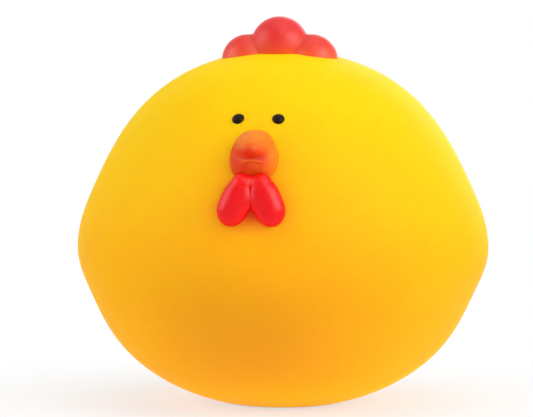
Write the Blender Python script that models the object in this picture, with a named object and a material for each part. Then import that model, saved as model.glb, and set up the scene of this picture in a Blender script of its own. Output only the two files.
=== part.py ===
"""Squishy toy: a chubby hen to squeeze in the hand.

A soft rubber skin, round as a ball and a little flat underneath, is filled with thick gel through
a hole in its base and closed by a barbed rubber plug. The comb, the beak, the two wattles and the
two eyes are mouldings of their own, bonded into shallow seats in the skin.

Metres, +Z up. The toy faces -Y, so its own left is at +X. It stands on the plane Z = 0.
"""

from math import acos, asin, cos, exp, pi, radians, sin, sqrt

import bmesh
import bpy
from mathutils import Matrix, Vector

# Body, measured outside the skin
BODY_WIDTH = 0.1000            # over the wing swells
BODY_HEIGHT = 0.0852           # floor to crown, without the comb
CHEST_DEPTH = 0.0460           # middle to chest
BACK_DEPTH = 0.0450            # middle to back, without the tail swell
WIDEST_HEIGHT = 0.0347         # floor to the widest ring
FLAT_RADIUS = 0.0105           # the flat patch that the toy rests on
FLAT_BLEND = 0.0004            # height over which the flat patch rounds up into the belly
CROWN_FULLNESS = 2.23          # 2 is an ellipse, more is squarer
BELLY_FULLNESS = 2.11

# Swells of the skin that stand for the wings and the tail
WING_SWELL = 0.0034
WING_HEIGHT = 0.0383
WING_REACH_UP = 0.0146
WING_REACH_DOWN = 0.0098
WING_EDGE = 2.17               # 2 fades evenly, more gives a clearer edge
WING_BREADTH = 3.0             # higher keeps the swell nearer the side
TAIL_SWELL = 0.0036
TAIL_HEIGHT = 0.0470
TAIL_REACH = 0.0120
TAIL_BREADTH = 9.0

# Skin, fits and filling hole
SKIN_WALL = 0.0024
GAP = 0.0003                   # clearance between faces that meet
GEL_CLEARANCE = 0.0005         # gel to skin, whose facets don't line up
SEAT_DEPTH = 0.0009            # how far the coloured pieces sink into the skin
PORT_RADIUS = 0.0040
BOSS_WALL = 0.0055             # rubber round the filling hole
BOSS_HEIGHT = 0.0060           # floor to the inner end of the boss
BOSS_CHAMFER = 0.0010
BOSS_LEDGE = 0.0001            # least flat floor left round the boss

# Filler plug
PLUG_HEAD_RADIUS = 0.0057
PLUG_HEAD_THICKNESS = 0.0010
PLUG_RECESS = 0.0004           # how far the head stays above the floor
PLUG_GRIP = 0.0010             # how far the barb reaches past the hole
PLUG_BARB_LENGTH = 0.0030
PLUG_TIP_RADIUS = 0.0026

# Comb: a middle lobe and a smaller one each side, in a row across the crown
COMB_FORWARD = 0.0040          # middle of the body to the row of lobes
COMB_SPACING = 0.0078          # lobe to lobe
COMB_MIDDLE_RADIUS = 0.0070
COMB_SIDE_RADIUS = 0.0063
COMB_THICKNESS = 0.85          # depth of a lobe over its width
COMB_MIDDLE_LIFT = 0.0013      # crown to the middle lobe's centre
COMB_SIDE_DROP = 0.0023        # crown down to a side lobe's centre
COMB_CREASE = 34.0             # higher gives a sharper crease between the lobes

# Beak: a bulb on the face, with an upper mandible that overhangs a lower one
BEAK_RISE = 30.1               # degrees up from the widest ring to the beak's centre
BEAK_DROOP = 6.0               # degrees that it points below level
BEAK_ARCH = 0.0020             # how far the tip's height falls, a BEAK_ARCH_SPAN to each side
BEAK_ARCH_SPAN = 0.0030
BULB_WIDTH = 0.0114
BULB_HEIGHT = 0.0132
BULB_REACH = 0.0034            # how far it stands out from the skin
BULB_DROP = 0.00105            # beak's centre down to the bulb's widest place
UPPER_WIDTH = 0.0088
UPPER_HEIGHT = 0.0063
UPPER_REACH = 0.0071
UPPER_LIFT = 0.0021
LOWER_WIDTH = 0.0092
LOWER_HEIGHT = 0.0075
LOWER_REACH = 0.00395
LOWER_DROP = 0.0012
BEAK_CREASE = 20.0

# Wattles: a pair of plump flattened drops that start under the chin of the beak
WATTLE_LENGTH = 0.00575        # root centre to lobe centre
WATTLE_TIP = 0.0041            # lobe centre to the tip
WATTLE_ROOT_RADIUS = 0.0027    # half the width at the root
WATTLE_LOBE_RADIUS = 0.00355   # half the width at the lobe
WATTLE_ROOT_DEPTH = 0.0024     # half the thickness, front to back, at the root
WATTLE_LOBE_DEPTH = 0.0027
WATTLE_TAPER = 3.2             # 1 tapers evenly, more keeps the lobe's width further up
WATTLE_SPLAY = 21.0            # degrees outward from hanging straight
WATTLE_ROOT_OFFSET = 0.0022    # middle of the face to the root centre
WATTLE_ROOT_DROP = 0.0068      # beak's centre down to the root centre
WATTLE_ROOT_REACH = 0.0008     # root centre in front of the skin
WATTLE_LOBE_REACH = 0.0002     # lobe centre in front of the skin

# Eyes: low domes
EYE_SPACING = 0.0094
EYE_RADIUS = 0.0015
EYE_LIFT = 0.0080              # beak's centre up to the eyes
EYE_DOME = 0.0011              # half the height of the bead that each dome is cut from
EYE_SINK = 0.0004              # how far the bead's centre lies inside the skin

# Facets
SKIN_SEGMENTS = 48
OUTER_RINGS = 28
INNER_RINGS = 16
COMB_SEGMENTS, COMB_RINGS = 32, 36
BEAK_SEGMENTS, BEAK_RINGS = 40, 26
BEAK_CROWDING = 0.5            # 0 spaces the segments evenly, more draws them to the front
WATTLE_SEGMENTS, WATTLE_RINGS = 22, 6
EYE_SEGMENTS, EYE_RINGS = 16, 10
PLUG_SEGMENTS = 32
SHARP_ANGLE = 40.0             # degrees between faces that are shaded as an edge

# Sizes that follow from the ones above
HALF_WIDTH = BODY_WIDTH / 2 - WING_SWELL
CROWN_RISE = BODY_HEIGHT - WIDEST_HEIGHT
FLAT_TURN = -acos((FLAT_RADIUS / HALF_WIDTH) ** (BELLY_FULLNESS / 2))
BELLY_DROP = (WIDEST_HEIGHT + FLAT_BLEND) / sin(-FLAT_TURN) ** (2 / BELLY_FULLNESS)
PORT_SINK_DEPTH = PLUG_RECESS + PLUG_HEAD_THICKNESS + GAP
PORT_SINK_RADIUS = PLUG_HEAD_RADIUS + GAP
BOSS_RADIUS = PORT_RADIUS + BOSS_WALL
PLUG_TIP_HEIGHT = BOSS_HEIGHT + GAP + PLUG_BARB_LENGTH


def clear_scene():
    for thing in list(bpy.data.objects):
        bpy.data.objects.remove(thing, do_unlink=True)


def material(name, color, roughness):
    mat = bpy.data.materials.new(name)
    mat.use_nodes = True
    shader = mat.node_tree.nodes["Principled BSDF"]
    shader.inputs["Base Color"].default_value = (*color, 1.0)
    shader.inputs["Roughness"].default_value = roughness
    shader.inputs["Metallic"].default_value = 0.0
    mat.diffuse_color = (*color, 1.0)
    return mat


def new_object(name, bm, mat=None, guide=False):
    """Turns a bmesh into a smooth-shaded object. A guide only cuts other pieces."""
    bmesh.ops.recalc_face_normals(bm, faces=bm.faces)
    mesh = bpy.data.meshes.new(name)
    bm.to_mesh(mesh)
    bm.free()
    mesh.shade_smooth()
    mesh.set_sharp_from_angle(angle=radians(SHARP_ANGLE))
    obj = bpy.data.objects.new(name, mesh)
    bpy.context.collection.objects.link(obj)
    if mat:
        mesh.materials.append(mat)
    if guide:
        obj.hide_render = True
        obj.display_type = "WIRE"
    return obj


def combine(obj, other, operation, solver="EXACT"):
    mod = obj.modifiers.new(f"{operation.lower()} {other.name}", "BOOLEAN")
    mod.operation = operation
    mod.solver = solver
    mod.object = other


def loft(rings):
    """Skins a list of rings of equal length. A ring of one point is a pole that closes an end."""
    bm = bmesh.new()
    loops = [[bm.verts.new(p) for p in ring] for ring in rings]
    count = max(len(ring) for ring in rings)
    for a, b in zip(loops, loops[1:]):
        for i in range(count):
            j = (i + 1) % count
            if len(a) == 1:
                bm.faces.new((a[0], b[i], b[j]))
            elif len(b) == 1:
                bm.faces.new((a[i], b[0], a[j]))
            else:
                bm.faces.new((a[i], b[i], b[j], a[j]))
    return bm


def circle(radius, height, segments):
    turns = [2 * pi * i / segments for i in range(segments)]
    return [Vector((radius * sin(t), -radius * cos(t), height)) for t in turns]


def skin_point(azimuth, rise):
    """A point on the outside of the skin.

    Azimuth turns from the face at -Y towards +X. Rise runs from -90 degrees at the base to 90 at
    the crown. Each level is an ellipse, and the outline from base to crown is a superellipse.
    """
    fullness = CROWN_FULLNESS if rise >= 0 else BELLY_FULLNESS
    share = max(cos(rise), 0.0) ** (2 / fullness)
    climb = abs(sin(rise)) ** (2 / fullness)
    if rise >= 0:
        z = WIDEST_HEIGHT + CROWN_RISE * climb
    else:
        z = WIDEST_HEIGHT - BELLY_DROP * climb
    if z < FLAT_BLEND:
        z = max(z + FLAT_BLEND, 0.0) ** 2 / (4 * FLAT_BLEND)

    side, front = sin(azimuth), cos(azimuth)
    reach = WING_REACH_UP if z > WING_HEIGHT else WING_REACH_DOWN
    wing = WING_SWELL * exp(-abs((z - WING_HEIGHT) / reach) ** WING_EDGE)
    tail = TAIL_SWELL * exp(-((z - TAIL_HEIGHT) / TAIL_REACH) ** 2)
    x = HALF_WIDTH * share * side + wing * side * abs(side) ** (WING_BREADTH - 1)
    if front > 0:
        y = -CHEST_DEPTH * share * front
    else:
        y = -BACK_DEPTH * share * front + tail * (-front) ** TAIL_BREADTH
    return Vector((x, y, z))


def skin_normal(azimuth, rise):
    """The outward direction there, from the slope of the surface round the point."""
    step = 1e-3
    if rise > pi / 2 - step:
        return Vector((0, 0, 1))
    if rise <= FLAT_TURN:
        return Vector((0, 0, -1))
    along = skin_point(azimuth + step, rise) - skin_point(azimuth - step, rise)
    up = skin_point(azimuth, rise + step) - skin_point(azimuth, rise - step)
    return along.cross(up).normalized()


def inset_point(azimuth, rise, depth):
    return skin_point(azimuth, rise) - depth * skin_normal(azimuth, rise)


def skin_rings(depth, count, boss=0.0):
    """Rings from the crown's pole down to the edge of the flat patch, a set depth inside.

    Where the flat patch is narrower than the boss and its ledge, its edge is drawn out past them.
    """
    rings = [[inset_point(0, pi / 2, depth)]]
    for level in range(1, count + 1):
        rise = pi / 2 + (FLAT_TURN - pi / 2) * level / count
        turns = [2 * pi * i / SKIN_SEGMENTS for i in range(SKIN_SEGMENTS)]
        rings.append([inset_point(t, rise, depth) for t in turns])
    for point in rings[-1]:
        point.xy *= max((boss + BOSS_LEDGE) / point.xy.length, 1.0)
    return rings


def rise_at(height):
    """The rise at which the skin's crown half reaches a height."""
    climb = (height - WIDEST_HEIGHT) / CROWN_RISE
    return asin(climb ** (CROWN_FULLNESS / 2))


def face_turn(x, height):
    """The azimuth at which the face is x from the middle, at a height above the widest ring."""
    share = cos(rise_at(height)) ** (2 / CROWN_FULLNESS)
    return asin(x / (HALF_WIDTH * share))


def face_point(x, height):
    return skin_point(face_turn(x, height), rise_at(height))


def inset_body(name, depth):
    """A guide: the body's whole form, a set depth inside the skin. It cuts the seats' floors."""
    levels = skin_rings(depth, OUTER_RINGS)
    levels.append([Vector((0, 0, depth))])
    return new_object(name, loft(levels), guide=True)


def merged_lobes(centre, lobes, crease, grow, segments, rings, crowding=0.0):
    """One closed surface over several ellipsoids, softly merged.

    It is worked out by rays from a shared centre. Each ray takes the power mean of the distances
    at which it leaves the lobes, so the longest counts most and the creases are rounded. The
    grid's poles lie to the left and the right, and crowding draws its segments to the front.
    """
    def reach(direction):
        total = 0.0
        for middle, radii in lobes:
            scaled = Vector([direction[k] / (radii[k] + grow) for k in range(3)])
            offset = Vector([(centre[k] - middle[k]) / (radii[k] + grow) for k in range(3)])
            a, b, c = scaled.dot(scaled), scaled.dot(offset), offset.dot(offset) - 1
            if b * b - a * c > 0:
                total += max((sqrt(b * b - a * c) - b) / a, 0.0) ** crease
        return total ** (1 / crease)

    even = [2 * pi * i / segments for i in range(segments)]
    crowded = [turn - crowding * cos(turn) for turn in even]
    levels = []
    for level in range(rings + 1):
        lean = pi * level / rings
        turns = [0.0] if level in (0, rings) else crowded
        ring = []
        for turn in turns:
            direction = Vector((cos(lean), sin(lean) * sin(turn), sin(lean) * cos(turn)))
            ring.append(centre + reach(direction) * direction)
        levels.append(ring)
    return loft(levels)


def beak_centre():
    return skin_point(0, radians(BEAK_RISE))


def comb_form(grow):
    crown = Vector((0, -COMB_FORWARD, BODY_HEIGHT))

    def lobe(across, up, radius):
        middle = crown + Vector((across, 0, up))
        return middle, Vector((radius, radius * COMB_THICKNESS, radius))

    lobes = [
        lobe(0, COMB_MIDDLE_LIFT, COMB_MIDDLE_RADIUS),
        lobe(-COMB_SPACING, -COMB_SIDE_DROP, COMB_SIDE_RADIUS),
        lobe(COMB_SPACING, -COMB_SIDE_DROP, COMB_SIDE_RADIUS),
    ]
    centre = crown - Vector((0, 0, COMB_SIDE_DROP))
    return merged_lobes(centre, lobes, COMB_CREASE, grow, COMB_SEGMENTS, COMB_RINGS)


def beak_form(grow):
    """Three lobes, made level and about the beak's centre, then arched, drooped and placed.

    The arch lowers a point by the square of its way to the side, more the further it is in front,
    which turns the mouth's ends down and leaves the outline on the skin alone.
    """
    seat = beak_centre()

    def lobe(lift, width, height, reach):
        skin = face_point(0, seat.z + lift)
        middle = Vector((0, skin.y - seat.y + SEAT_DEPTH, lift))
        return middle, Vector((width / 2, reach + SEAT_DEPTH, height / 2))

    lobes = [
        lobe(-BULB_DROP, BULB_WIDTH, BULB_HEIGHT, BULB_REACH),
        lobe(UPPER_LIFT, UPPER_WIDTH, UPPER_HEIGHT, UPPER_REACH),
        lobe(-LOWER_DROP, LOWER_WIDTH, LOWER_HEIGHT, LOWER_REACH),
    ]
    centre = Vector((0, SEAT_DEPTH, -BULB_DROP))
    bm = merged_lobes(centre, lobes, BEAK_CREASE, grow, BEAK_SEGMENTS, BEAK_RINGS, BEAK_CROWDING)
    for vert in bm.verts:
        forward = max(-vert.co.y, 0.0) / UPPER_REACH
        vert.co.z -= BEAK_ARCH * forward * (vert.co.x / BEAK_ARCH_SPAN) ** 2
    place = Matrix.Translation(seat) @ Matrix.Rotation(radians(BEAK_DROOP), 4, "X")
    bmesh.ops.transform(bm, matrix=place, verts=bm.verts)
    return bm


def wattle_form(side, grow):
    """A plump drop: elliptic rings along a line from the root's centre to the lobe's.

    Half widths and half depths run from the root's values to the lobe's, where they level out,
    and a quarter ellipse closes each end.
    """
    seat = beak_centre()
    root = face_point(side * WATTLE_ROOT_OFFSET, seat.z - WATTLE_ROOT_DROP)
    splay = radians(WATTLE_SPLAY)
    lobe_x = root.x + side * WATTLE_LENGTH * sin(splay)
    lobe = face_point(lobe_x, root.z - WATTLE_LENGTH * cos(splay))
    root.y -= WATTLE_ROOT_REACH
    lobe.y -= WATTLE_LOBE_REACH
    span = (lobe - root).length

    widths = WATTLE_ROOT_RADIUS + grow, WATTLE_LOBE_RADIUS + grow
    depths = WATTLE_ROOT_DEPTH + grow, WATTLE_LOBE_DEPTH + grow
    tip = WATTLE_TIP + grow
    shares = [level / WATTLE_RINGS for level in range(WATTLE_RINGS)]
    turns = [pi / 2 * share for share in shares]
    rings = [(0, sin(turn), -widths[0] * cos(turn)) for turn in turns]
    rings += [(1 - (1 - share) ** WATTLE_TAPER, 1, span * share) for share in shares]
    rings += [(1, cos(turn), span + tip * sin(turn)) for turn in turns]
    rings.append((1, 0, span + tip))

    levels = []
    for share, closing, along in rings:
        wide = closing * (widths[0] + share * (widths[1] - widths[0]))
        deep = closing * (depths[0] + share * (depths[1] - depths[0]))
        count = WATTLE_SEGMENTS if closing else 1
        around = [2 * pi * i / count for i in range(count)]
        levels.append([Vector((wide * cos(t), deep * sin(t), along)) for t in around])
    bm = loft(levels)

    axis = (lobe - root).normalized()
    across = Vector((0, 1, 0)).cross(axis).normalized()
    frame = Matrix((across, axis.cross(across), axis)).transposed().to_4x4()
    frame.translation = root
    bmesh.ops.transform(bm, matrix=frame, verts=bm.verts)
    return bm


def eye_form(side, grow):
    seat = beak_centre()
    height = seat.z + EYE_LIFT
    x = side * EYE_SPACING / 2
    normal = skin_normal(face_turn(x, height), rise_at(height))
    bm = bmesh.new()
    bmesh.ops.create_uvsphere(bm, u_segments=EYE_SEGMENTS, v_segments=EYE_RINGS, radius=1.0)
    size = Matrix.Diagonal((EYE_RADIUS + grow, EYE_RADIUS + grow, EYE_DOME + grow, 1.0))
    turn = Vector((0, 0, 1)).rotation_difference(normal).to_matrix().to_4x4()
    turn.translation = face_point(x, height) - EYE_SINK * normal
    bmesh.ops.transform(bm, matrix=turn @ size, verts=bm.verts)
    return bm


def seated(name, form, mat, seat_floor):
    """A coloured piece: its form, less what lies deeper in the skin than its seat."""
    obj = new_object(name, form(0.0), mat)
    combine(obj, seat_floor, "DIFFERENCE")
    return obj


def seat_cutter(name, forms, pocket_floor):
    """The guides that sink a seat into the skin, a gap wider and a gap deeper than its pieces.

    Pieces that touch share one cutter, so that their seats run into each other with no ridge. The
    cuts follow each other along faces that all but coincide, where the exact solver leaves edges
    of three faces, so they use the manifold one.
    """
    cutter, *others = [new_object(name, form(GAP), guide=True) for form in forms]
    for other in others:
        combine(cutter, other, "UNION", "MANIFOLD")
    combine(cutter, pocket_floor, "DIFFERENCE", "MANIFOLD")
    return [cutter, *others]


def make_skin(mat):
    """The hollow skin: outside, filling hole, boss and inside in one unbroken run of rings."""
    def ring(radius, height):
        return circle(radius, height, SKIN_SEGMENTS)

    levels = skin_rings(0.0, OUTER_RINGS)
    levels += [
        ring(PORT_SINK_RADIUS, 0.0),
        ring(PORT_SINK_RADIUS, PORT_SINK_DEPTH),
        ring(PORT_RADIUS, PORT_SINK_DEPTH),
        ring(PORT_RADIUS, BOSS_HEIGHT),
        ring(BOSS_RADIUS - BOSS_CHAMFER, BOSS_HEIGHT),
        ring(BOSS_RADIUS, BOSS_HEIGHT - BOSS_CHAMFER),
        ring(BOSS_RADIUS, SKIN_WALL),
    ]
    levels += reversed(skin_rings(SKIN_WALL, INNER_RINGS, BOSS_RADIUS))
    return new_object("body_skin", loft(levels), mat)


def make_gel(mat):
    """The filling: the inside of the skin less a clearance, hollowed over the boss and the plug."""
    def ring(radius, height):
        return circle(radius, height, SKIN_SEGMENTS)

    depth = SKIN_WALL + GEL_CLEARANCE
    well_radius = BOSS_RADIUS + GEL_CLEARANCE
    well_height = PLUG_TIP_HEIGHT + GEL_CLEARANCE
    levels = skin_rings(depth, INNER_RINGS, well_radius)
    levels += [
        ring(well_radius, depth),
        ring(well_radius, well_height - BOSS_CHAMFER),
        ring(well_radius - BOSS_CHAMFER, well_height),
        [Vector((0, 0, well_height))],
    ]
    return new_object("gel_fill", loft(levels), mat)


def make_plug(mat):
    """The plug, turned: a flat head, a stem through the hole and a barb that locks inside."""
    stem = PORT_RADIUS - GAP
    head_top = PLUG_RECESS + PLUG_HEAD_THICKNESS
    barb_foot = BOSS_HEIGHT + GAP
    edge = PLUG_HEAD_THICKNESS / 4
    profile = [
        (PLUG_HEAD_RADIUS - edge, PLUG_RECESS),
        (PLUG_HEAD_RADIUS, PLUG_RECESS + edge),
        (PLUG_HEAD_RADIUS, head_top),
        (stem, head_top),
        (stem, barb_foot),
        (PORT_RADIUS + PLUG_GRIP, barb_foot),
        (PORT_RADIUS + PLUG_GRIP, barb_foot + edge),
        (PLUG_TIP_RADIUS, PLUG_TIP_HEIGHT),
    ]
    levels = [[Vector((0, 0, PLUG_RECESS))]]
    levels += [circle(radius, height, PLUG_SEGMENTS) for radius, height in profile]
    levels.append([Vector((0, 0, PLUG_TIP_HEIGHT))])
    return new_object("filler_plug", loft(levels), mat)


def make_toy():
    yellow = material("soft yellow rubber", (1.0, 0.50, 0.010), 0.55)
    red = material("soft red rubber", (0.83, 0.018, 0.022), 0.45)
    orange = material("soft orange rubber", (0.90, 0.16, 0.012), 0.45)
    black = material("gloss black", (0.012, 0.008, 0.006), 0.12)
    amber = material("clear amber gel", (0.95, 0.55, 0.10), 0.20)
    natural = material("plug rubber", (0.95, 0.46, 0.02), 0.60)

    seat_floor = inset_body("seat_floor", SEAT_DEPTH)
    pocket_floor = inset_body("pocket_floor", SEAT_DEPTH + GAP)
    guides = [seat_floor, pocket_floor]
    skin = make_skin(yellow)
    pieces = [skin, make_gel(amber), make_plug(natural)]

    # The toy's own left is at +X.
    def left_wattle(grow):
        return wattle_form(1, grow)

    def right_wattle(grow):
        return wattle_form(-1, grow)

    def left_eye(grow):
        return eye_form(1, grow)

    def right_eye(grow):
        return eye_form(-1, grow)

    made = {
        "comb": seated("comb", comb_form, red, seat_floor),
        "beak": seated("beak", beak_form, orange, seat_floor),
        "left_wattle": seated("left_wattle", left_wattle, red, seat_floor),
        "right_wattle": seated("right_wattle", right_wattle, red, seat_floor),
        "left_eye": seated("left_eye", left_eye, black, seat_floor),
        "right_eye": seated("right_eye", right_eye, black, seat_floor),
    }
    pieces += made.values()
    seats = {
        "comb_seat": [comb_form],
        "face_seat": [beak_form, left_wattle, right_wattle],
        "left_eye_seat": [left_eye],
        "right_eye_seat": [right_eye],
    }
    for name, forms in seats.items():
        cutters = seat_cutter(name, forms, pocket_floor)
        combine(skin, cutters[0], "DIFFERENCE", "MANIFOLD")
        guides += cutters

    # The wattles cut into the beak's chin and meet in the middle, with a gap at both places. The
    # chin's cuts run into each other on its seat face, where the exact solver leaves open edges, so
    # they use the manifold one. The block that trims a wattle to its side reaches past its lobe.
    block = WATTLE_LENGTH + WATTLE_TIP + WATTLE_LOBE_RADIUS
    block_drop = WATTLE_ROOT_DROP + WATTLE_LENGTH / 2
    for side, name, form in ((1, "left_wattle", left_wattle), (-1, "right_wattle", right_wattle)):
        clearance = new_object(f"{name}_clearance", form(GAP), guide=True)
        combine(made["beak"], clearance, "DIFFERENCE", "MANIFOLD")
        bm = bmesh.new()
        bmesh.ops.create_cube(bm, size=2 * block)
        middle = beak_centre() + Vector((side * (GAP / 2 - block), 0, -block_drop))
        bmesh.ops.translate(bm, vec=middle, verts=bm.verts)
        half = new_object(f"{name}_middle", bm, guide=True)
        combine(made[name], half, "DIFFERENCE")
        guides += [clearance, half]
    return pieces, guides


def stand_on_origin(things, pieces):
    """Puts the toy's middle, front to back, over the origin."""
    depths = [v.co.y for obj in pieces for v in obj.data.vertices]
    stand = bpy.data.objects.new("toy", None)
    bpy.context.collection.objects.link(stand)
    stand.location.y = -(min(depths) + max(depths)) / 2
    for obj in things:
        obj.parent = stand
    return stand


clear_scene()
toy_pieces, toy_guides = make_toy()
toy = stand_on_origin(toy_pieces + toy_guides, toy_pieces)
print(f"{len(toy_pieces)} pieces, moved {toy.location.y * 1000:.3f} mm to centre them")
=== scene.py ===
# Squishy toy: a chubby hen of soft rubber, filled with thick gel.
# Every surface that shows, its rubber and paint, and the photograph's light and camera.
# Metres, +Z up. The toy faces -Y, so its own left is at +X, and it stands on z = 0.

import bpy
import numpy as np
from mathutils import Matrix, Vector


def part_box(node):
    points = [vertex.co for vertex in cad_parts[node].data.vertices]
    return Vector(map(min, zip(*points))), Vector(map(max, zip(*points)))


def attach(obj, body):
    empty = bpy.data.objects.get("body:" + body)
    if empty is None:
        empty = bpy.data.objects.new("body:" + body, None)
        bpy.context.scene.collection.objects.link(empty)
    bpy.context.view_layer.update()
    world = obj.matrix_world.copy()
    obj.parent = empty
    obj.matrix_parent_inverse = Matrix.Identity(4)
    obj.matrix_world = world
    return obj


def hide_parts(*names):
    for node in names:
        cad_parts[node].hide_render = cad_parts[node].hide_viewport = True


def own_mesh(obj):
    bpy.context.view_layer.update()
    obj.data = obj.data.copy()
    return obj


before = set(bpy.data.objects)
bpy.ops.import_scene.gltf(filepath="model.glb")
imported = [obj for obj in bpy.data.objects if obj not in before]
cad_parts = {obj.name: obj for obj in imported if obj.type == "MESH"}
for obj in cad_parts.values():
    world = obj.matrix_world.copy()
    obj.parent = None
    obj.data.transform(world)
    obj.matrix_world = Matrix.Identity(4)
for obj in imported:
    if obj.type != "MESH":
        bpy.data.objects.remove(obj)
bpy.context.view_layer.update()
mm = 0.001
pi = np.pi
print("frame loaded")

# The round body, the same sizes as the solids
body = {
    "width": 100.0 * mm,
    "height": 85.2 * mm,
    "chest": 46.0 * mm,          # middle to face
    "back": 45.0 * mm,           # middle to back, without the tail
    "widest": 34.7 * mm,         # floor to the widest ring
    "flat": 10.5 * mm,           # radius of the patch that it rests on
    "flatBlend": 0.4 * mm,       # height of the curve into that patch
    "crownFullness": 2.23,       # 2 is an ellipse, more is squarer
    "bellyFullness": 2.11,
    "wing": 3.4 * mm,            # how far the wing swells stand out
    "wingHeight": 38.3 * mm,
    "wingUp": 14.6 * mm,         # how far they reach up from there, and down
    "wingDown": 9.8 * mm,
    "wingEdge": 2.17,            # 2 is a bell curve, more ends sooner
    "wingBreadth": 3.0,          # more is narrower front to back
    "tail": 3.6 * mm,
    "tailHeight": 47.0 * mm,
    "tailReach": 12.0 * mm,
    "tailBreadth": 9.0,
    "wall": 2.4 * mm,
    "seatDepth": 0.9 * mm,       # how far the coloured pieces sink in
    "columns": 380,
    "rows": 186,
    "innerRows": 40,
}

# The belly's superellipse would end below the floor: flatTurn is the rise at which it has narrowed
# to the flat patch, and bellyDrop is its full depth under the widest ring.
halfWidth = body["width"] / 2 - body["wing"]
crownRise = body["height"] - body["widest"]
flatTurn = -np.arccos((body["flat"] / halfWidth) ** (body["bellyFullness"] / 2))
flatDrop = body["widest"] + body["flatBlend"]
bellyDrop = flatDrop / np.sin(-flatTurn) ** (2 / body["bellyFullness"])


# A point on the skin from its azimuth, from the face towards +X, and its rise, from the base at -90
# degrees to the crown at 90. Each level is an ellipse; share, its size, is a power of the rise's
# cosine and the height the same power of its sine, so the outline is a superellipse. Close to the
# floor a parabola leads into the flat patch. The wings and the tail are bell curves up the height,
# times a power of the azimuth's sine or cosine.
def skinPoint(azimuth, rise):
    upper = rise >= 0
    fullness = np.where(upper, body["crownFullness"], body["bellyFullness"])
    share = np.clip(np.cos(rise), 0, 1) ** (2 / fullness)
    climb = np.abs(np.sin(rise)) ** (2 / fullness)
    z = body["widest"] + np.where(upper, crownRise, -bellyDrop) * climb
    blend = body["flatBlend"]
    z = np.where(z < blend, np.maximum(z + blend, 0) ** 2 / (4 * blend), z)
    side, front = np.sin(azimuth), np.cos(azimuth)
    reach = np.where(z > body["wingHeight"], body["wingUp"], body["wingDown"])
    wing = body["wing"] * np.exp(-np.abs((z - body["wingHeight"]) / reach) ** body["wingEdge"])
    tail = body["tail"] * np.exp(-((z - body["tailHeight"]) / body["tailReach"]) ** 2)
    x = halfWidth * share * side + wing * side * np.abs(side) ** (body["wingBreadth"] - 1)
    depth = np.where(front > 0, body["chest"], body["back"])
    y = -depth * share * front + tail * np.clip(-front, 0, 1) ** body["tailBreadth"]
    return np.stack(np.broadcast_arrays(x, y, z), -1)


# The outward direction: the cross product of the slopes along the two parameters.
def skinNormal(azimuth, rise):
    step = 1e-3
    along = skinPoint(azimuth + step, rise) - skinPoint(azimuth - step, rise)
    up = skinPoint(azimuth, rise + step) - skinPoint(azimuth, rise - step)
    normal = np.cross(along, up)
    normal /= np.maximum(np.linalg.norm(normal, axis=-1, keepdims=True), 1e-12)
    rise = np.broadcast_to(rise, normal.shape[:-1])[..., None]
    normal = np.where(rise > pi / 2 - step, (0, 0, 1), normal)
    return np.where(rise <= flatTurn, (0, 0, -1), normal)


# The level's share of the full width at a height, from the superellipse.
def shareAt(z):
    upper = z >= body["widest"]
    climb = np.where(upper, (z - body["widest"]) / crownRise, (body["widest"] - z) / bellyDrop)
    fullness = np.where(upper, body["crownFullness"], body["bellyFullness"])
    return np.clip(1 - np.clip(climb, 0, 1) ** fullness, 0, 1) ** (1 / fullness)


def faceY(x, z):  # y of the skin's front at x and z
    return -body["chest"] * np.sqrt(np.clip(shareAt(z) ** 2 - (x / halfWidth) ** 2, 0, 1))


def crownZ(x, y):  # z of the skin's top at x and y
    share = np.clip(np.hypot(x / halfWidth, y / body["chest"]), 0, 1)
    full = body["crownFullness"]
    return body["widest"] + crownRise * (1 - share ** full) ** (1 / full)


def facePoint(x, z):
    return np.array((x, faceY(x, z), z))


# Comb, beak, wattles and eyes: the solids' own sizes, but for a beak that is up to 0.7 mm slimmer,
# softer creases and wattles that meet, as in the photograph. Angles are in degrees.
comb = {
    "forward": 4.0 * mm,         # from the body's middle towards the face
    "spacing": 7.8 * mm,         # between the lobes' middles
    "middleRadius": 7.0 * mm,
    "sideRadius": 6.3 * mm,
    "thickness": 0.85,           # front to back, as a share of the radius
    "middleLift": 1.3 * mm,      # from the crown to the middle lobe's centre
    "sideDrop": 2.3 * mm,        # from the crown down to the side lobes' centres
    "crease": 23.0,              # between the lobes, more is sharper
    "glow": 0.8,                 # how strongly the painted glow of the skin's yellow shows at the foot
    "glowReach": 2.0 * mm,       # height over which that dies away
    "glowFront": (2 * mm, 7 * mm),    # from none to all of it, towards the face
    "columns": 200,
    "rows": 230,
}
beak = {
    "rise": 30.1,                # where it sits up the face
    "droop": 6.0,
    "arch": 1.3 * mm,            # how far the sides curve down, at archSpan from the middle
    "archSpan": 3.0 * mm,
    "crease": 11.0,
    "bulb": (11.3 * mm, 12.7 * mm, 3.4 * mm, -1.3 * mm),    # width, height, reach and lift
    "upper": (8.1 * mm, 6.3 * mm, 7.1 * mm, 2.05 * mm),
    "lower": (9.2 * mm, 7.5 * mm, 3.95 * mm, -1.2 * mm),
    "lip": -0.62 * mm,           # height of the lower lip's ridge
    "lipHeight": 0.14 * mm,
    "lipWidth": 0.26 * mm,
    "lipSpan": 3.2 * mm,         # half its length
    "lipFront": (0.2, 0.6),      # from no ridge at the back to a full one in front
    "groove": 0.7,               # depth of the groove, as a share of the ridge's height
    "grooveDrop": 2.2,           # how far it lies below the ridge, in ridge widths
    "crowding": 0.5,             # how strongly columns are drawn to the front
    "columns": 260,
    "rows": 190,
}
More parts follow.
